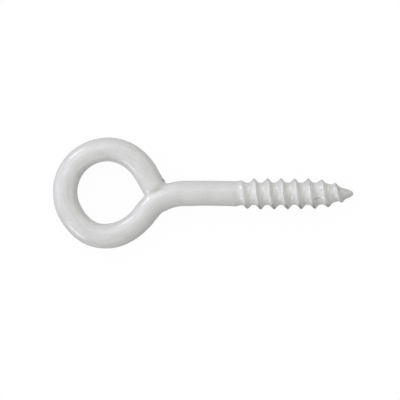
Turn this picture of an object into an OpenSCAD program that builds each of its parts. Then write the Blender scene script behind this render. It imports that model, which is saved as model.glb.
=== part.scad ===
// Screw eye: one piece of coated steel wire, bent to a closed eye at one end and threaded at the other.
// The eye lies in the XY plane with its centre at the origin, and the shank runs along +X to the point.

/* [Wire] */
// Diameter of the bent wire over its coat
wire_d = 4.05; // [3:0.05:5]
// Extra thickness of the coat on the straight shank
shank_coat = 0.05; // [0.02:0.01:0.15]

/* [Eye] */
// Clear diameter through the eye
eye_d = 10.2; // [8:0.1:20]

/* [Neck] */
// Centreline radius of the reverse bend that leads the eye back onto the shank
neck_r = 8.1; // [5:0.1:16]
// Depth to which the cut end of the wire is joined into the side of the neck
butt_depth = 0.3; // [0.25:0.05:1]

/* [Shank] */
// Plain straight length between the neck and the thread
plain_l = 7.5; // [2:0.5:60]

/* [Thread] */
// Threaded length, with the point
thread_l = 20.5; // [12:0.5:60]
// Diameter over the crests
thread_d = 5.2; // [4.6:0.1:7]
// Diameter at the root
root_d = 3.7; // [2.6:0.1:4.2]
// Advance of the thread in one turn
pitch = 2.25; // [1.6:0.05:3.5]
// Width of one flank, from crest to root
flank_w = 0.72; // [0.4:0.02:1]
// Length over which the thread rises out of the shank
rise_l = 2.7; // [1:0.1:6]
// Angle about the shank, from +Y, at which the crest reaches the tip
crest_end = 112.5; // [0:22.5:337.5]

/* [Point] */
// Radius of the core just behind the rounded nose
nose_r = 0.57; // [0.3:0.01:1]
// Length of the rounded nose
nose_l = 0.9; // [0.4:0.1:2]
// Growth of the core's radius for each millimetre behind the nose
point_slope = 0.28; // [0.2:0.01:0.6]
// Distance from the tip at which the crest has its full height
crest_l = 4; // [2:0.5:8]

/* [Hidden] */

// Sides of the round wire
wire_sides = 64;
// Sides of the threaded length, and rows of facets in one pitch
thread_sides = 16;
// Rounding of the valley between two flanks, as a share of the thread's depth
valley_blend = 0.2;
// Step from the shank down to the thread's first facets
start_step = 0.03;
// Step from the eye's wire down to its sheared free end
free_step = 0.03;
// Length by which one length of wire runs into the next
entry = 0.1;

wire_r = wire_d / 2;
shank_r = wire_r + shank_coat;
// Centreline radius of the eye
eye_r = eye_d / 2 + wire_r;
// The neck's bend touches the eye's circle from outside, and its other end lies on the shank's axis
bend_gap = eye_r + neck_r;
join_a = asin(neck_r / bend_gap);
neck_x = bend_gap * cos(join_a);
thread_x = neck_x + plain_l;
// The free end leaves the eye's circle straight, and its line meets the neck's side square
free_a = acos(eye_r / bend_gap);
free_reach = bend_gap * sin(free_a);
butt_reach = neck_r + wire_r - butt_depth;
free_r = wire_r - free_step;
entry_a = 180 * entry / (PI * neck_r);

// Wire bent about the origin in the XY plane, from one angle on through a sweep
module bent_wire(bend_r, from, sweep) {
    rotate_extrude(angle = sweep, start = from, $fn = 2 * wire_sides)
        translate([bend_r, 0])
            circle(r = wire_r, $fn = wire_sides);
}

// Straight wire along +X
module straight_wire(r, length) {
    rotate([0, 90, 0])
        cylinder(r = r, h = length, $fn = wire_sides);
}

// Eye, neck and free end, drawn with the eye's circle and the neck's bend touching on +X
module eye() {
    bent_wire(eye_r, 0, free_a - 360);
}

module neck() {
    translate([bend_gap, 0, 0])
        bent_wire(neck_r, 180, join_a - 90 - entry_a);
}

// Straight end of the eye's wire, cut square and butted on the neck
module free_end() {
    translate([bend_gap, 0, 0])
        rotate([0, 0, 90 + free_a])
            translate([butt_reach, 0, 0])
                straight_wire(free_r, free_reach - butt_reach + entry);
}

module plain_shank() {
    translate([neck_x, 0, 0])
        straight_wire(shank_r, plain_l);
}

// 0 at and below 0, 1 at and above 1, and smooth between
function ease(t) = let (c = max(0, min(1, t))) c * c * (3 - 2 * c);

// A line with its lower end bent smoothly onto zero
function soft_floor(v, blend) = (v + sqrt(v * v + blend * blend)) / 2;

// Radius of the core at distance d from the tip: a full root, a slim cone and a rounded nose
function nose_share(d) = sqrt(max(0, 1 - pow(1 - min(1, d / nose_l), 2)));
function core_r(d) =
    let (full = root_d / 2, cone = nose_r + point_slope * d)
    nose_share(d) * (full - soft_floor(full - cone, valley_blend));

// Height of the thread at a number of turns from its crest line, as a share of its depth
function flank(turns) =
    let (off = abs(turns - round(turns)) * pitch)
    soft_floor(1 - off / flank_w, valley_blend);

// Radius of the threaded length at distance d from the tip and angle a from +Y towards +Z
function thread_r(d, a) =
    let (
        turns = (crest_end - a) / 360 - d / pitch,
        depth = (thread_d - root_d) / 2 * max(0, min(1, (d - nose_l) / (crest_l - nose_l))),
        full = core_r(d) + depth * flank(turns),
        start = shank_r - start_step
    )
    start + (full - start) * ease((thread_l - d) / rise_l);

// Right-hand thread: a mesh of rings whose facets follow the helix, closed by the tip and a flat end.
// The flat end lies just inside the plain shank.
module threaded_length() {
    step = pitch / thread_sides;
    rings = ceil(thread_l / step) + 1;
    last = thread_sides - 1;
    points = concat(
        [[thread_l, 0, 0]],
        [for (i = [1 : rings], j = [0 : last])
            let (a = 360 * j / thread_sides, r = thread_r(i * step, a))
            [thread_l - i * step, r * cos(a), r * sin(a)]]
    );
    function at(i, j) = 1 + (i - 1) * thread_sides + (j % thread_sides);
    nose = [for (j = [0 : last]) [0, at(1, j + 1), at(1, j)]];
    front = [for (i = [1 : rings - 1], j = [0 : last]) [at(i, j), at(i, j + 1), at(i + 1, j)]];
    back = [for (i = [1 : rings - 1], j = [0 : last]) [at(i, j + 1), at(i + 1, j + 1), at(i + 1, j)]];
    flat_end = [[for (j = [0 : last]) at(rings, j)]];
    translate([thread_x, 0, 0])
        polyhedron(points = points, faces = concat(nose, front, back, flat_end));
}

module screw_eye() {
    color([0.88, 0.88, 0.87]) {
        rotate([0, 0, -join_a]) {
            eye();
            neck();
            free_end();
        }
        plain_shank();
        threaded_length();
    }
}

screw_eye();
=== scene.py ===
import math

import bpy
import numpy as np
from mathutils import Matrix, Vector


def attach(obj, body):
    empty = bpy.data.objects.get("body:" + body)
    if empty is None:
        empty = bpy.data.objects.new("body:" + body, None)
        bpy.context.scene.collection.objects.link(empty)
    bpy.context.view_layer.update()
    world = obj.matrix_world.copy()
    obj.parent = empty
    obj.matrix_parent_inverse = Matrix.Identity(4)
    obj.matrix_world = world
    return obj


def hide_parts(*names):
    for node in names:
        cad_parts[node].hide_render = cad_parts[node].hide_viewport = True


# A closed screw eye: one length of coated steel wire, bent to an eye, with a wood thread and a point.
# The lengths in the settings are millimetres and the angles degrees; the meshes are made in metres.
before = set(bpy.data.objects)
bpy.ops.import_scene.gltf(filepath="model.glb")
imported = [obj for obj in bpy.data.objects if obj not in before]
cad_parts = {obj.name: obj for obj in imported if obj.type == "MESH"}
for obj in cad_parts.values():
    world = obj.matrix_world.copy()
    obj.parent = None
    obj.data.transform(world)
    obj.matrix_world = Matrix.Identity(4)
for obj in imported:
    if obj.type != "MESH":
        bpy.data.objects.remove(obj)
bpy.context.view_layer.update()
metre = 0.001
print("frame loaded:", sorted(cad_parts))

# The wire's line: eye, neck, shank and threaded length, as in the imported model
wire = {
    "eyeR": 7.125,          # centreline radius of the eye
    "neckR": 8.1,           # centreline radius of the bend between eye and shank
    "bentR": 2.03,          # radius of the bent wire over its coat
    "shankR": 2.075,        # radius of the straight shank over its coat
    "plainLength": 7.5,     # from the bend's end to the thread's start
    "threadLength": 20.5,
    "around": 80,           # columns round the wire
    "rowStep": 0.4,         # distance between rows on the plain wire
    "swellFrom": 12.4,      # place where the bent wire starts to gain the shank's thickness, and the length
    "swellLength": 3.0,
    "columnAngle": -180.0,  # where the first column lies, from the left of the wire's heading
}

# The seam, where the cut end of the wire butts on the side of the neck under the coat
seam = {
    "cutReach": 1.3,        # from the neck's centreline to the cut end
    "cutEdge": 1.2,         # rounding of the cut end's edge
    "sideBlend": 0.65,      # how softly the coat fills the corner at the outline
    "topBlend": 1.25,       # and how softly on the face and the back of the wire
    "patchRows": 14,        # rows and columns of the neck that the free end takes up
    "patchColumns": 26,
    "patchReach": 2.6,      # half of the patch's length along the neck's centreline
    "loopReach": 4.3,       # from the neck's centreline to the free end's first plain row
    "rings": 18,            # rows between that first row and the patch
    "smoothing": 40,        # rounds that even these rows out
    "nearRows": (3, 5),     # rows of the neck before and after the patch that follow the soft corner too
    "foldPlace": 0.3,       # the fold, a line of painted shade along the seam's crease: how far up the free end it lies
    "foldStraight": 1.0,    # half of its straight part
    "foldReach": 4.0,       # where it ends on either side
    "foldWidth": 0.33,
    "foldShade": 0.6,        # how strongly it takes the painted shade of the hollows
}

# The wood thread and the point
thread = {
    "pitch": 2.25,
    "rootR": 1.83,
    "height": 0.82,
    "crestAngle": 121.5,    # where the crest line would reach the tip, from +Y towards +Z
    "flankShares": (0.33, 0.29),    # widths of the flanks towards the eye and the tip, as shares of the pitch
    "flankWider": 0.1,      # how much wider the first flank is on the upper side
    # share by which it narrows near the tip, the distance from the tip at which that starts, and the length
    "narrower": 0.4,
    "narrowStart": 4.6,
    "narrowLength": 1.2,
    "crestRound": 0.09,     # rounding of the crest, as a share of the flank's width
    "valleyRound": 0.28,    # rounding of the valley, as a share of the height
    "rootStart": 19.9,      # distance from the tip at which the root starts to sink, and the length it takes
    "rootLength": 2.0,
    "ridgeStart": 20.45,    # the same for the ridge, which rises more slowly
    "ridgeLength": 3.7,
    "noseR": 0.45,          # radius of the cone at the tip, before the nose is rounded
    "slope": 0.31,          # by which the cone's radius grows
    "noseLength": 0.8,
    "noseRows": 14,
    # share of the ridge's full height at distances from the tip
    "growth": (
        (0.9, 0), (1.4, 0.3), (1.85, 0.55), (3, 0.7), (4.1, 0.8), (5.3, 0.76), (6.3, 0.93), (7.5, 1)),
}

# Small departures of the bent and rolled wire from the true circles and the straight axis
handMade = {
    # angle about the eye, how far the wire lies outside the circle, and how much thicker its radius is
    "eye": (
        (28, 0, 0.01), (48, -0.057, -0.015), (70, 0.01, -0.005), (92, 0.055, -0.04), (115, 0.052, -0.052),
        (140, 0.07, -0.02), (158, 0.06, 0.016), (180, 0.02, 0), (198, -0.012, 0.034), (210, -0.048, 0.035),
        (222, 0.025, 0.008), (230, 0.077, 0.018), (240, 0.178, 0.015), (250, 0.216, 0.02), (261, 0.165, 0.03),
        (272, 0.083, 0.03), (282, 0.013, 0.035), (292, -0.088, 0.005), (302, -0.145, -0.015),
        (318, -0.115, -0.04), (330, -0.008, 0), (340, 0, 0)),
    # place along the shank, and how far its axis lies to the side
    "axis": (
        (14, 0), (18, -0.015), (22, -0.05), (25, -0.06), (28, -0.025), (31, 0), (34, 0.03), (37, 0.05),
        (39.5, 0.05), (40.9, 0.1)),
    # angle about the bend's centre, and how much closer to it the hollow side of the neck lies
    "hollow": (
        (60, 0), (66, 0), (76, 0.065), (86, 0.125), (95, 0.125), (104, 0.11), (112, 0.07), (118, 0.045),
        (123, -0.02), (127, -0.085), (131, -0.08), (136, -0.03), (141, 0), (146, 0)),
    "burr": 0.17,           # height of the sheared edge that stands out at the cut end's outer corner
    "burrPlace": (9.5, 1.95, 0.1),
    "burrSize": 0.4,
    # coat thickness waves: how many, their shortest and longest length, and their height
    "waves": ((16, 2.5, 7.0, 0.012), (24, 0.7, 1.6, 0.002)),
    "waveSeed": 7,
}

# Streaks in the coat: their scales along and across the wire, on the plain wire and on the thread
streaks = {
    "along": (0.35, 3.5),
    "across": (4.0, 0.7),
    "turnLength": 2.0,      # length over which they turn from along to round the wire
    "shank": 0.4,           # their strength against the eye's
    "thread": 1.3,
    "seamFade": (3.2, 1.5),     # distance from the seam at which they start to show, and over what length
}

# White coat over the steel
coat = {
    "colour": (0.803, 0.805, 0.8, 1),
    "paintedShadeColour": (0.73, 0.736, 0.713, 1),    # painted shade in the hollows: greyer and a little olive
    # dark colour of the specks and scratches, and of the painted shade on the ridges and in soft patches
    "speckAndShadeColour": (0.16, 0.155, 0.145, 1),
    # noises: features a millimetre, and detail; the streaks' own scales are in their coordinates
    "cloudNoise": (0.45, 3.0),
    "grainNoise": (2.6, 2.5),
    "streakNoise": (1.0, 2.0),
    "peelNoise": (1.3, 1.0),
    "cloudDepth": 0.08,     # share by which the colour varies
    "grainDepth": 0.07,
    "streakDepth": 0.13,
    "ridgePaintedLight": 0.1,      # painted light: how much lighter the thread's crest is painted, for the light its flanks catch
    "valleyShade": 0.3,      # how strongly its valleys take the painted shade of the hollows
    "roughness": 0.24,
    "roughnessSpan": 0.1,
    "specular": 0.65,
    "film": (0.92, 0.92, 0.917, 1),     # tint of a thin film: the coat is darker where it is seen at a slant
    "filmIor": 1.01,
    "peel": 0.007,          # height of the bumps
    "grainPeel": 0.25,      # shares of the grain and the streaks in them
    "streakPeel": 0.5,
    # painted shade, dark and speckled, on the ridge at the sides of the screw towards -Y and +Y: its share, and
    # the distance from the axis at which it starts, with the length over which it grows
    "ridgeShadeFront": 0.7,
    "ridgeShadeFrontSpan": (1.3, 1.1),
    "ridgeShadeBack": 0.3,
    "ridgeShadeBackSpan": (1.8, 0.6),
    "ridgeShadeRise": (0.45, 0.4),   # where it starts on the ridge and how it grows, as shares of the ridge's height
    "ridgeShadeGrain": (2.4, 0.2),    # the grain times the first number, less the second, breaks up the painted shade
    # dark specks and scratches, and soft darker patches of painted shade, on the upper side: two ends, the
    # width and the strength of each
    "strokes": (
        ((9.22, 2.35), (9.32, 2.1), 0.16, 0.8), ((8.76, 2.8), (8.82, 2.7), 0.09, 0.35),
        ((34.35, -1.07), (34.75, -0.83), 0.15, 0.2), ((34.75, -0.83), (35.2, -0.69), 0.15, 0.28),
        ((35.2, -0.69), (35.6, -0.65), 0.13, 0.4), ((34.5, -1.55), (34.6, -1.75), 0.2, 0.22),
        # a wide faint one: painted shade of a dent
        ((34.6, -1.3), (35.15, -1.45), 0.4, 0.08),
        ((27.12, 0.4), (27.18, -0.1), 0.07, 0.3), ((27.3, -0.1), (27.38, -0.5), 0.07, 0.3),
        ((29.42, 0.2), (29.48, -0.1), 0.07, 0.3), ((29.6, -0.6), (29.7, -1.1), 0.07, 0.35),
        ((31.75, -0.25), (31.82, -0.85), 0.07, 0.25), ((32.75, -1.5), (32.78, -1.6), 0.12, 0.25),
        ((23.6, -0.4), (23.65, -0.46), 0.09, 0.25), ((28.0, -1.75), (28.05, -1.85), 0.13, 0.3),
        ((36.4, -0.1), (36.45, -0.5), 0.07, 0.15), ((-0.2, -7.05), (0, -7.0), 0.08, 0.15),
        # these, at the point, are painted shade on the nose and its rim
        ((39.0, -0.1), (40.7, 0.1), 0.75, 0.17), ((38.9, 0.78), (40.4, 0.28), 0.13, 0.28),
        ((39.2, -0.85), (40.3, -0.45), 0.13, 0.2), ((38.0, 1.45), (38.55, 0.65), 0.2, 0.36),
        ((38.55, 0.65), (38.65, -0.1), 0.2, 0.12), ((38.75, -1.25), (39.1, -1.3), 0.22, 0.25),
        # painted shade over a light spot and over a highlight on the ridges near the point
        ((33.3, 2.05), (33.7, 1.45), 0.15, 0.34), ((35.2, 0.95), (35.8, 0.55), 0.17, 0.2),
        ((36.2, -1.6), (37.0, -1.8), 0.15, 0.13), ((2.3, 5.5), (3.5, 4.85), 0.12, 0.12),
    ),
    # light ones, painted highlights: bright edges and places where the coat shines, painted lighter
    "paintedHighlightColour": (1, 1, 1, 1),
    "paintedHighlights": (
        ((11.2, -1.66), (11.95, -1.6), 0.05, 0.5), ((12.3, -1.5), (12.8, -1.46), 0.05, 0.35),
        ((10.7, 1.05), (12.0, 1.1), 0.07, 0.12), ((6.75, -0.95), (8.7, -0.2), 0.45, 0.4),
        ((4.45, 3.9), (5.6, 2.5), 0.12, 0.35), ((-6.5, -4.8), (-5.6, -6.2), 0.13, 0.3),
        ((-5.5, 2.9), (-6.15, 0), 0.3, 0.32), ((-6.15, 0), (-5.5, -2.8), 0.3, 0.22),
        ((8.0, 1.5), (11.0, 1.0), 0.45, 0.25), ((1.8, -5.65), (3.3, -4.55), 0.22, 0.35),
        ((-0.5, 6.0), (-2.6, 5.45), 0.28, 0.35), ((-2.6, 5.45), (-4.4, 4.3), 0.28, 0.35),
        ((-4.4, 4.3), (-5.8, 3.2), 0.28, 0.35), ((3.65, 4.2), (5.1, 2.85), 0.2, 0.35),
        ((-1.5, -5.6), (-3.5, -4.9), 0.15, 0.3), ((5.2, -2.3), (4.5, -3.3), 0.15, 0.3),
        ((-5.95, 2.6), (-6.25, 1.2), 0.15, 0.35), ((-6.85, -4.95), (-5.85, -6.05), 0.2, 0.3),
        ((30.65, 1.5), (30.8, 0.7), 0.12, 0.4), ((28.35, 1.25), (28.55, 0.35), 0.14, 0.35),
    ),
}

bendGap = wire["eyeR"] + wire["neckR"]
joinAngle = math.degrees(math.asin(wire["neckR"] / bendGap))
freeAngle = math.degrees(math.acos(wire["eyeR"] / bendGap)) - joinAngle
neckX = bendGap * math.cos(math.radians(joinAngle))
threadX = neckX + wire["plainLength"]
tipX = threadX + wire["threadLength"]
bendCentre = np.array([neckX, -wire["neckR"]])
freeHeading = 90 + freeAngle


def along(angle):
    # Unit vector in the plane of the eye
    a = np.radians(angle)
    return np.stack([np.cos(a), np.sin(a)], -1)


def ease(t):
    # 0 up to 0, 1 from 1 on, smooth between
    c = np.clip(t, 0, 1)
    return c * c * (3 - 2 * c)


def rise(v, span):
    # Smooth from 0 to 1: where it starts, and over what length
    start, length = span
    return ease((v - start) / length)


def softFloor(v, blend):
    # A line whose lower end bends smoothly onto zero
    return (v + np.sqrt(v * v + blend * blend)) / 2


def curveThrough(places, values, at):
    # Cubic pieces through a table's points, with the slope at each point that its neighbours give
    x, y = np.array(places, float), np.array(values, float)
    slope = np.gradient(y, x)
    k = np.clip(np.searchsorted(x, at) - 1, 0, len(x) - 2)
    gap = x[k + 1] - x[k]
    t = np.clip((at - x[k]) / gap, 0, 1)
    near, far = (1 + 2 * t) * (1 - t) ** 2 * y[k], t ** 2 * (3 - 2 * t) * y[k + 1]
    return near + far + gap * t * (1 - t) * ((1 - t) * slope[k] - t * slope[k + 1])


def spaced(start, end, step):
    # Even places from start, up to but without end
    count = max(1, round(abs(end - start) / step))
    return start + (end - start) * np.arange(count) / count


def wireRows():
    # The centreline as points and headings: straight free end, eye, neck's bend and shank.
    # The rows of the neck are even on the patch that the free end takes up.
    freeReach = bendGap * math.sin(math.radians(freeAngle + joinAngle))
    perDegree = math.radians(1)
    u = spaced(wire["neckR"] + seam["loopReach"], freeReach, wire["rowStep"])
    eyeA = spaced(freeAngle, 360 - joinAngle, wire["rowStep"] / wire["eyeR"] / perDegree)
    half = seam["patchReach"] / wire["neckR"] / perDegree
    step = wire["rowStep"] / wire["neckR"] / perDegree
    before = spaced(180 - joinAngle, freeHeading + half, step)
    patch = spaced(freeHeading + half, freeHeading - half, 2 * half / seam["patchRows"])
    after = spaced(freeHeading - half, 90, step)
    x = spaced(neckX, threadX, wire["rowStep"])
    neckA = np.concatenate([before, patch, after])
    points = np.concatenate([
        bendCentre + u[:, None] * along(freeHeading),
        wire["eyeR"] * along(eyeA),
        bendCentre + wire["neckR"] * along(neckA),
        np.stack([x, 0 * x], -1),
    ])
    headings = np.concatenate([0 * u + freeHeading, eyeA + 90, neckA - 90, 0 * x])
    firstPatchRow = len(u) + len(eyeA) + len(before)
    return points, headings, firstPatchRow


def tube(points, headings, radius, columns):
    # A round section carried along a path: each row lies square to its heading,
    # at radius times (cos of the column's angle to the left, sin of it upwards)
    left = along(headings + 90)
    a = np.radians(columns)[None, :]
    flat = points[:, None, :] + (radius * np.cos(a))[..., None] * left[:, None, :]
    return np.concatenate([flat, (radius * np.sin(a))[..., None]], -1)


def coreRadius(d):
    # Full root, then a slim cone, then a rounded nose, by the distance from the tip
    cone = thread["noseR"] + thread["slope"] * d
    nose = np.sqrt(np.clip(1 - (1 - np.minimum(1, d / thread["noseLength"])) ** 2, 0, 1))
    return nose * (thread["rootR"] - softFloor(thread["rootR"] - cone, thread["valleyRound"]))


def ridgeShare(d, a):
    # Height of the ridge that follows the helix, by the distance from the tip and the angle about the axis
    turns = (thread["crestAngle"] - a) / 360 - d / thread["pitch"]
    off = turns - np.round(turns)
    first, last = thread["flankShares"]
    first = first + thread["flankWider"] * np.sin(np.radians(np.clip(a, 0, 180))) ** 2
    first = first * (1 - thread["narrower"] * ease((thread["narrowStart"] - d) / thread["narrowLength"]))
    flank = np.where(off < 0, first, last)
    return softFloor(1 - np.hypot(off / flank, thread["crestRound"]), thread["valleyRound"])


def threadRadius(d, a):
    # Core plus the ridge: the root sinks into the shank and the ridge rises out of it
    far, share = np.array(thread["growth"]).T
    sunk = ease((thread["rootStart"] - d) / thread["rootLength"])
    risen = ease((thread["ridgeStart"] - d) / thread["ridgeLength"])
    core = wire["shankR"] + (coreRadius(d) - wire["shankR"]) * sunk
    return core + thread["height"] * np.interp(d, far, share) * risen * ridgeShare(d, a)


def seamDistance(p):
    # Distance outside the neck's bend joined with the square-cut free end, with a soft corner between them
    q = p[..., :2] - bendCentre
    up, side = q @ along(freeHeading), q @ along(freeHeading - 90)
    neck = np.hypot(np.hypot(q[..., 0], q[..., 1]) - wire["neckR"], p[..., 2]) - wire["bentR"]
    wall = np.hypot(side, p[..., 2]) - wire["bentR"] + seam["cutEdge"]
    cut = wire["neckR"] + seam["cutReach"] - up + seam["cutEdge"]
    outside = np.hypot(np.maximum(wall, 0), np.maximum(cut, 0))
    free = outside + np.minimum(np.maximum(wall, cut), 0) - seam["cutEdge"]
    blend = seam["sideBlend"] + (seam["topBlend"] - seam["sideBlend"]) * ease(np.abs(p[..., 2]) / wire["bentR"])
    near = np.maximum(blend - np.abs(neck - free), 0) / blend
    return np.minimum(neck, free) - near ** 3 * blend / 6


def marksOn(p):
    # For the material: how much painted shade of the hollows it takes (in the thread's valleys and the seam's
    # fold), how near the thread's crest, which is painted lighter (half in the valleys), how much painted shade
    # darkens the crests (at the sides of the screw), and how strong the streaks are (fading towards the seam)
    d = tipX - p[:, 0]
    threaded = ease((thread["ridgeStart"] - d) / thread["ridgeLength"])
    ridge = ridgeShare(d, np.degrees(np.arctan2(p[:, 2], p[:, 1])))
    q = p[:, :2] - bendCentre
    up, side = q @ along(freeHeading), q @ along(freeHeading - 90)
    fromCut = up - wire["neckR"] - seam["cutReach"]
    fromFold = np.hypot(fromCut - seam["foldPlace"], np.maximum(np.abs(side) - seam["foldStraight"], 0))
    # the fold: painted shade along the seam's crease
    fold = seam["foldShade"] * np.exp(-(fromFold / seam["foldWidth"]) ** 2)
    fold = fold * (np.abs(side) < seam["foldReach"]) * (up > 0)
    onShank, onThread = [rise(p[:, 0], (start, wire["swellLength"])) for start in (wire["swellFrom"], threadX)]
    # painted shade on the ridge at the screw's sides, stronger towards -Y than +Y
    front = coat["ridgeShadeFront"] * rise(-p[:, 1], coat["ridgeShadeFrontSpan"])
    back = coat["ridgeShadeBack"] * rise(p[:, 1], coat["ridgeShadeBackSpan"])
    strong = 1 + (streaks["shank"] - 1) * onShank + (streaks["thread"] - streaks["shank"]) * onThread
    fromSeam = np.hypot(np.hypot(fromCut, side), p[:, 2])
    return {
        "hollow": np.maximum(fold, threaded * coat["valleyShade"] * np.clip(1 - ridge, 0, 1) ** 2),
        "crest": threaded * (1 + np.clip(ridge, 0, 1)) / 2,
        "paintedRidgeShade": threaded * rise(ridge, coat["ridgeShadeRise"]) * np.maximum(front, back),
        "streaky": strong * rise(fromSeam, streaks["seamFade"]),
    }


def ontoSeam(p, steps=4):
    # Steps along the slope of the distance, each as long as the distance over the slope, end on the surface
    h = 1e-4    # either side of the point, for the slope
    for _ in range(steps):
        slope = np.stack([(seamDistance(p + h * e) - seamDistance(p - h * e)) / (2 * h) for e in np.eye(3)], -1)
        p = p - seamDistance(p)[..., None] * slope / np.maximum((slope ** 2).sum(-1, keepdims=True), 1e-6)
    return p


def gridFaces(ids):
    # Four-sided faces between the closed rows of a table of point numbers, wound to face outwards
    nextColumn = np.roll(ids, -1, 1)
    return np.stack([ids[:-1], nextColumn[:-1], nextColumn[1:], ids[1:]], -1)


def streakPlaces(lengths, sections, columns):
    # Coordinates for the streaks: length from the thread's start and place in the section, in millimetres times
    # two scales that make the streaks run along the plain wire and round the threaded length
    share = ease(lengths / streaks["turnLength"])[:, None]
    a = np.radians(columns)[None, :]
    far, near = [first + (last - first) * share for first, last in (streaks["along"], streaks["across"])]
    side = near * sections
    return np.stack([far * lengths[:, None] + 0 * a, side * np.cos(a), side * np.sin(a)], -1)


def wireMesh():
    # One closed skin: wire rows, threaded rows, nose and seam
    n = wire["around"]
    columns = wire["columnAngle"] + 360 * np.arange(n) / n
    points, headings, patchRow = wireRows()
    # the wire swells on the neck and the shank alone, where it heads less than 90 degrees from +X
    swell = rise(points[:, 0], (wire["swellFrom"], wire["swellLength"])) * (headings < 90)
    radius = wire["bentR"] + (wire["shankR"] - wire["bentR"]) * swell
    plain = tube(points, headings, radius[:, None], columns)

    # threaded rows lie a share of the pitch apart that lets the crest run through the points
    step = thread["pitch"] / n
    rows = np.arange(math.floor(wire["threadLength"] / step), math.ceil(thread["noseLength"] / step) - 1, -1)
    lean = np.linspace(90, 0, thread["noseRows"] + 1)[1:-1]
    d = np.concatenate([rows * step, thread["noseLength"] * (1 - np.cos(np.radians(lean)))])
    radii = threadRadius(d[:, None], columns[None, :])
    line = np.stack([tipX - d, 0 * d], -1)
    screw = tube(line, 0 * d, radii, columns)

    lengths = np.cumsum(np.hypot(*np.diff(points, axis=0, append=[[threadX, 0]]).T)[::-1])[::-1]
    lengths = np.concatenate([-lengths, wire["threadLength"] - d])
    places = streakPlaces(lengths, np.concatenate([radius[:, None] + 0 * radii[:1], radii]), columns)
    grid = np.concatenate([plain, screw])
    before, after = seam["nearRows"]
    neck = slice(patchRow - before, patchRow + seam["patchRows"] + after)
    grid[neck] = ontoSeam(grid[neck])

    ids = np.arange(grid[..., 0].size).reshape(grid.shape[:2])
    middle, wide, deep = n // 2, seam["patchColumns"] // 2, seam["patchRows"]
    low, high, first, last = middle - wide, middle + wide, patchRow, patchRow + deep
    edge = np.concatenate([
        ids[last, middle:low:-1], ids[last:first:-1, low], ids[first, low:high],
        ids[first:last, high], ids[last, high:middle:-1],
    ])
    flatGrid = grid.reshape(-1, 3)
    share = (np.arange(seam["rings"] + 1) / seam["rings"])[:, None, None]
    rings = flatGrid[edge] * (1 - share) + flatGrid[ids[0]] * share
    for _ in range(seam["smoothing"]):
        beside = np.roll(rings, 1, 1) + np.roll(rings, -1, 1)
        rings[1:-1] = (beside[1:-1] + rings[2:] + rings[:-2]) / 4
        rings[1:-1] = ontoSeam(rings[1:-1], 2)
    ringIds = len(flatGrid) + np.arange((seam["rings"] - 1) * n).reshape(-1, n)
    ringIds = np.concatenate([edge[None], ringIds, ids[:1]])

    tipId = len(flatGrid) + (seam["rings"] - 1) * n
    around = gridFaces(ids)
    keep = np.ones(around.shape[:2], bool)
    keep[first:last, low:high] = False
    quads = np.concatenate([around[keep], gridFaces(ringIds).reshape(-1, 4)])
    cap = np.stack([ids[-1], np.roll(ids[-1], -1), np.full(n, tipId)], -1)
    co = np.concatenate([flatGrid, rings[1:-1].reshape(-1, 3), [[tipX, 0, 0]]])
    places = np.concatenate([places.reshape(-1, 3), np.tile(places[0], (seam["rings"] - 1, 1)), places[-1, :1]])
    return co, quads, cap, places


def bentByHand(p):
    # Moves points by the small departures: the eye's line out of round, the wire's thickness,
    # the shank's axis, and the coat that has gathered in the hollow of the neck
    angle, out, thicker = np.array(handMade["eye"]).T
    eyeA = np.degrees(np.arctan2(p[:, 1], p[:, 0])) % 360
    far = np.hypot(p[:, 0], p[:, 1])
    radial = p[:, :2] / np.maximum(far, 1e-6)[:, None]
    onEye = ease((wire["eyeR"] + 2 * wire["bentR"] - far) / wire["bentR"]) * (eyeA > angle[0])
    centre = np.concatenate([wire["eyeR"] * radial, np.zeros((len(p), 1))], -1)
    grow = onEye * curveThrough(angle, thicker, eyeA) / wire["bentR"]
    moved = p + (p - centre) * grow[:, None]
    moved[:, :2] += radial * (onEye * curveThrough(angle, out, eyeA))[:, None]

    q = p[:, :2] - bendCentre
    bendA, reach = np.degrees(np.arctan2(q[:, 1], q[:, 0])), np.hypot(q[:, 0], q[:, 1])
    place, fill = np.array(handMade["hollow"]).T
    onBend = (bendA > place[0]) & (bendA < place[-1])
    fill = curveThrough(place, fill, bendA) * onBend * ease((wire["neckR"] - reach) / wire["bentR"])
    moved[:, :2] -= q / np.maximum(reach, 1e-6)[:, None] * fill[:, None]

    moved[:, 1] += curveThrough(*np.array(handMade["axis"]).T, p[:, 0]) * (p[:, 0] > neckX)
    return moved


def coatThickness(p):
    # A bump at the burr and slow random waves, to be laid on along the normals
    far = np.linalg.norm(p - np.array(handMade["burrPlace"]), axis=-1) / handMade["burrSize"]
    thick = handMade["burr"] * np.exp(-far ** 2)
    draw = np.random.default_rng(handMade["waveSeed"])
    for count, shortest, longest, height in handMade["waves"]:
        heading = draw.normal(size=(3, count))
        heading *= 2 * math.pi / draw.uniform(shortest, longest, count) / np.linalg.norm(heading, axis=0)
        waves = np.sin(p @ heading + draw.uniform(0, 2 * math.pi, count))
        thick = thick + height * waves.sum(-1) / math.sqrt(count)
    return thick


def newMesh(name, co, quads, tris):
    # Points in metres and faces of four and three corners, put into a mesh as whole arrays
    mesh = bpy.data.meshes.new(name)
    corners = np.concatenate([quads.ravel(), tris.ravel()]).astype(np.int32)
    sizes = np.concatenate([np.full(len(quads), 4), np.full(len(tris), 3)])
    mesh.vertices.add(len(co))
    mesh.vertices.foreach_set("co", co.astype(np.float32).ravel())
    mesh.loops.add(len(corners))
    mesh.loops.foreach_set("vertex_index", corners)
    mesh.polygons.add(len(sizes))
    mesh.polygons.foreach_set("loop_start", np.concatenate([[0], np.cumsum(sizes)[:-1]]).astype(np.int32))
    mesh.update(calc_edges=True)
    mesh.polygons.foreach_set("use_smooth", np.ones(len(sizes), bool))
    mesh.validate(verbose=True)
    made = bpy.data.objects.new(name, mesh)
    bpy.context.scene.collection.objects.link(made)
    return made


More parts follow.
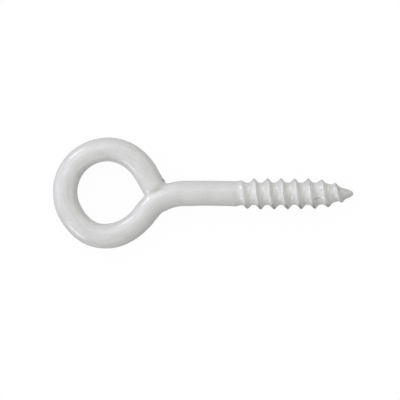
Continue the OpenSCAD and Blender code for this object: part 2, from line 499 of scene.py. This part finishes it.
def setMark(made, name, values):
    # One number or one vector a point, for the material to read
    kind, field = ("FLOAT", "value") if values.ndim == 1 else ("FLOAT_VECTOR", "vector")
    made.data.attributes.new(name, kind, "POINT").data.foreach_set(field, values.astype(np.float32).ravel())


class Shade:
    # One output of a node: sums, differences and products of it add Math nodes
    def __init__(self, tree, made=None, output=0):
        self.tree = tree
        self.made = made
        self.socket = made.outputs[output] if made and len(made.outputs) else None

    def other(self, output):
        # Another output of the same node
        return Shade(self.tree, self.made, output)

    def node(self, kind, settings=None, inputs=None, output=0):
        # A new node: its settings first, then the value or link of each socket
        made = self.tree.nodes.new(kind)
        for name, value in (settings or {}).items():
            setattr(made, name, value)
        for name, value in (inputs or {}).items():
            if isinstance(value, Shade):
                self.tree.links.new(value.socket, made.inputs[name])
            else:
                made.inputs[name].default_value = value
        return Shade(self.tree, made, output)

    def maths(self, operation, first, second):
        return self.node("ShaderNodeMath", {"operation": operation}, {0: first, 1: second})

    def vector(self, operation, other, output="Vector", scale=None):
        # Vector Math on this output and another vector or a scale
        inputs = {0: self} if other is None else {0: self, 1: other}
        if scale is not None:
            inputs["Scale"] = scale
        return self.node("ShaderNodeVectorMath", {"operation": operation}, inputs, output)

    def noise(self, scale, detail):
        # Soft noise about one half, at these coordinates
        inputs = {"Vector": self, "Scale": scale, "Detail": detail, "Roughness": 0.5}
        return self.node("ShaderNodeTexNoise", None, inputs)

    def swing(self, depth):
        # A noise about one half, turned into one from minus to plus a depth
        return (self - 0.5) * (2 * depth)

    def mark(self, name, output="Fac"):
        # A mesh's own number or vector at each point
        return self.node("ShaderNodeAttribute", {"attribute_name": name}, output=output)

    def above(self, level):
        # 1 where this output is above a level, else 0
        return self.maths("GREATER_THAN", self, level)

    def mixed(self, share, first, second):
        # One colour into another
        return self.node("ShaderNodeMix", {"data_type": "RGBA"}, {0: share, 6: first, 7: second}, 2)

    def __add__(self, other):
        return self.maths("ADD", self, other)

    def __radd__(self, other):
        return self.maths("ADD", other, self)

    def __sub__(self, other):
        return self.maths("SUBTRACT", self, other)

    def __rsub__(self, other):
        return self.maths("SUBTRACT", other, self)

    def __mul__(self, other):
        return self.maths("MULTIPLY", self, other)

    def __rmul__(self, other):
        return self.maths("MULTIPLY", other, self)


def newMaterial(name):
    made = bpy.data.materials.new(name)
    made.use_nodes = True
    made.node_tree.nodes.clear()
    return made, Shade(made.node_tree)


def strokeShare(flat, start, end, width, depth):
    # The depth on the line between two points, times e to the power of minus (gap over width) squared beside it
    line = Vector((*end, 0)) - Vector((*start, 0))
    toPoint = flat.vector("SUBTRACT", (*start, 0))
    share = toPoint.vector("DOT_PRODUCT", tuple(line), "Value") * (1 / line.length_squared)
    share = share.maths("MAXIMUM", share.maths("MINIMUM", share, 1.0), 0.0)
    nearest = share.node("ShaderNodeVectorMath", {"operation": "SCALE"}, {0: tuple(line), "Scale": share})
    gap = toPoint.vector("DISTANCE", nearest, "Value")
    return gap.maths("POWER", math.e, gap * gap * (-1 / width ** 2)) * depth


def coatMaterial():
    made, shade = newMaterial("whiteCoat")
    # object coordinates in millimetres
    where = shade.node("ShaderNodeTexCoord", output="Object").vector("SCALE", None, "Vector", 1 / metre)
    cloud = where.noise(*coat["cloudNoise"])
    grain = where.noise(*coat["grainNoise"])
    streak = shade.mark("streakPlace", "Vector").noise(*coat["streakNoise"])
    hollow, crest = shade.mark("hollow"), shade.mark("crest")
    # colour: the coat's own, with painted shade in the hollows, times one plus clouds, grain, streaks and
    # painted light on the crest
    light = cloud.swing(coat["cloudDepth"]) + grain.swing(coat["grainDepth"]) + 1.0
    # painted light on the thread's crest
    light = light + crest * coat["ridgePaintedLight"] + streak.swing(coat["streakDepth"]) * shade.mark("streaky")
    colour = shade.mixed(hollow, coat["colour"], coat["paintedShadeColour"])
    colour = colour.node("ShaderNodeVectorMath", {"operation": "SCALE"}, {0: colour, "Scale": light})
    flat = where.vector("MULTIPLY", (1, 1, 0))
    upper = where.vector("DOT_PRODUCT", (0, 0, 1), "Value").above(0.0)
    # dark strokes (specks, scratches and patches of painted shade) and light ones (painted highlights), upper
    # side only
    for strokes, tone in (coat["strokes"], coat["speckAndShadeColour"]), (coat["paintedHighlights"], coat["paintedHighlightColour"]):
        for stroke in strokes:
            colour = shade.mixed(strokeShare(flat, *stroke) * upper, colour, tone)
    steep, low = coat["ridgeShadeGrain"]
    # painted shade on the ridges at the screw's sides, broken up by the grain
    colour = shade.mixed(shade.mark("paintedRidgeShade") * (grain * steep - low), colour, coat["speckAndShadeColour"])
    rough = (cloud - 0.5) * coat["roughnessSpan"] + coat["roughness"]
    # orange peel: grain, a coarser noise and the streaks
    peel = grain * coat["grainPeel"] + where.noise(*coat["peelNoise"]) + streak * coat["streakPeel"]
    height = coat["peel"] * metre
    bump = shade.node("ShaderNodeBump", None, {"Strength": 1.0, "Distance": height, "Height": peel})
    surface = shade.node("ShaderNodeBsdfPrincipled", None, {
        "Base Color": colour, "Roughness": rough, "Specular IOR Level": coat["specular"], "Normal": bump,
        "Coat Weight": 1.0, "Coat IOR": coat["filmIor"], "Coat Tint": coat["film"],
    })
    shade.node("ShaderNodeOutputMaterial", None, {"Surface": surface})
    return made


co, quads, cap, places = wireMesh()
marks = marksOn(co)
co = bentByHand(co)
coatedWire = newMesh("coatedWire", co * metre, quads, cap)
for name, values in {**marks, "streakPlace": places}.items():
    setMark(coatedWire, name, values)
normals = np.zeros(co.size, np.float32)
coatedWire.data.vertex_normals.foreach_get("vector", normals)
co = co + normals.reshape(-1, 3) * coatThickness(co)[:, None]
coatedWire.data.vertices.foreach_set("co", (co * metre).astype(np.float32).ravel())
coatedWire.data.update()
coatedWire.data.materials.append(coatMaterial())
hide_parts("screw_eye")
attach(coatedWire, "root")
print("wire made:", len(co), "points,", 2 * len(quads) + len(cap), "triangles")

# Studio: pale floor, soft lamps and the camera almost straight above
studio = {
    "floorZ": -2.6,
    "floorHalf": 600.0,
    "floorColour": (0.45, 0.45, 0.45, 1),
    "floorWhite": 1.07,     # the floor that the camera sees, with a share of the lit paper for the shadow
    "paperSeen": 0.1,
    "lens": 500.0,
    "sensor": 36.0,
    "frameWidth": 66.43,    # width of the view at the wire's centreline
    "frameCentre": (15.378, -1.129),
    "lean": 5.0,            # the camera stands a little towards the point, and the picture is turned a little
    "roll": 0.35,
    "worldLevel": 0.442,
    "worldColour": (1, 1, 0.99, 1),
    "lampReach": 300.0,     # distance of the lamps
}

# Soft lamps round the object: name, heading from +X, angle above the floor, width, height, strength and colour
lamps = (
    ("top", 0, 89.9, 200, 200, 0.11, (1, 0.94, 0.78)),
    ("rightBack", 45, 50, 160, 160, 0.8, (0.985, 1, 0.925)),
    ("back", 90, 50, 160, 160, 0.7, (0.97, 0.94, 1)),
    ("leftBack", 135, 50, 160, 160, 1.46, (0.975, 0.96, 1)),
    ("left", 180, 50, 160, 160, 0.38, (0.93, 0.86, 1)),
    ("leftFront", 225, 50, 160, 160, 0.55, (1, 0.98, 0.95)),
    ("front", 270, 50, 160, 160, 0.26, (1, 1, 0.7)),
    ("lowRightBack", 45, 17, 100, 50, 3.44, (0.99, 1, 0.88)),
    ("lowLeftBack", 135, 17, 100, 50, 12.4, (0.9, 0.93, 1)),
    ("lowLeft", 180, 17, 100, 50, 4.0, (0.675, 0.69, 1)),
    ("lowLeftFront", 225, 17, 100, 50, 9.4, (0.965, 0.985, 1)),
)


def seenDirectly(shade):
    # 1 on rays from the camera, and on those that a gloss or a glass sends on
    path = shade.node("ShaderNodeLightPath", output="Is Camera Ray")
    gloss, glass = path.other("Is Glossy Ray"), path.other("Is Transmission Ray")
    return path.maths("MAXIMUM", path, gloss.maths("MAXIMUM", gloss, glass))


def makeFloor():
    half = studio["floorHalf"]
    co = np.array([[-half, -half], [half, -half], [half, half], [-half, half]])
    co = np.concatenate([co, np.full((4, 1), studio["floorZ"])], -1)
    floor = newMesh("floor", co * metre, np.array([[0, 1, 2, 3]]), np.zeros((0, 3), int))
    made, shade = newMaterial("floorPaper")
    seen = seenDirectly(shade)
    paper = shade.node("ShaderNodeBsdfDiffuse", None, {"Color": studio["floorColour"]})
    white = shade.node("ShaderNodeEmission", None, {"Color": (1, 1, 1, 1), "Strength": studio["floorWhite"]})
    mixed = shade.node("ShaderNodeMixShader", None, {0: seen * (1 - studio["paperSeen"]), 1: paper, 2: white})
    shade.node("ShaderNodeOutputMaterial", None, {"Surface": mixed})
    floor.data.materials.append(made)


def makeLamp(name, heading, lift, width, height, strength, colour):
    # A soft rectangle that faces the middle of the object: its power is the strength over its area
    data = bpy.data.lights.new(name, "AREA")
    data.shape = "RECTANGLE"
    data.size, data.size_y = width * metre, height * metre
    data.energy = strength * math.pi * data.size * data.size_y
    data.color = colour
    lamp = bpy.data.objects.new(name, data)
    bpy.context.scene.collection.objects.link(lamp)
    up = math.radians(lift)
    away = Vector((*(along(heading) * math.cos(up)), math.sin(up)))
    lamp.location = (away * studio["lampReach"] + Vector((*studio["frameCentre"], 0))) * metre
    lamp.rotation_euler = (-away).to_track_quat("-Z", "Y").to_euler()


def makeWorld():
    world = bpy.data.worlds.new("studioWorld")
    bpy.context.scene.world = world
    world.use_nodes = True
    world.node_tree.nodes.clear()
    shade = Shade(world.node_tree)
    seen = seenDirectly(shade)
    sky, level = studio["worldColour"], studio["worldLevel"]
    lit = shade.node("ShaderNodeBackground", None, {"Color": sky, "Strength": level})
    white = shade.node("ShaderNodeBackground", None, {"Color": (1, 1, 1, 1), "Strength": 1.0})
    mixed = shade.node("ShaderNodeMixShader", None, {0: seen, 1: lit, 2: white})
    shade.node("ShaderNodeOutputWorld", None, {"Surface": mixed})


def makeCamera():
    data = bpy.data.cameras.new("camera")
    data.lens = studio["lens"]
    data.sensor_width = studio["sensor"]
    camera = bpy.data.objects.new("camera", data)
    bpy.context.scene.collection.objects.link(camera)
    reach = studio["frameWidth"] * studio["lens"] / studio["sensor"]
    lean = math.radians(studio["lean"])
    away = np.append(along(studio["roll"]) * math.sin(lean), math.cos(lean))
    camera.location = (np.array([*studio["frameCentre"], 0]) + reach * away) * metre
    camera.rotation_euler = (0, lean, math.radians(studio["roll"]))
    data.clip_start = reach * metre / 100
    bpy.context.scene.camera = camera


makeFloor()
makeWorld()
for lamp in lamps:
    makeLamp(*lamp)
makeCamera()
bpy.context.scene.view_settings.view_transform = "Standard"
print("studio made")
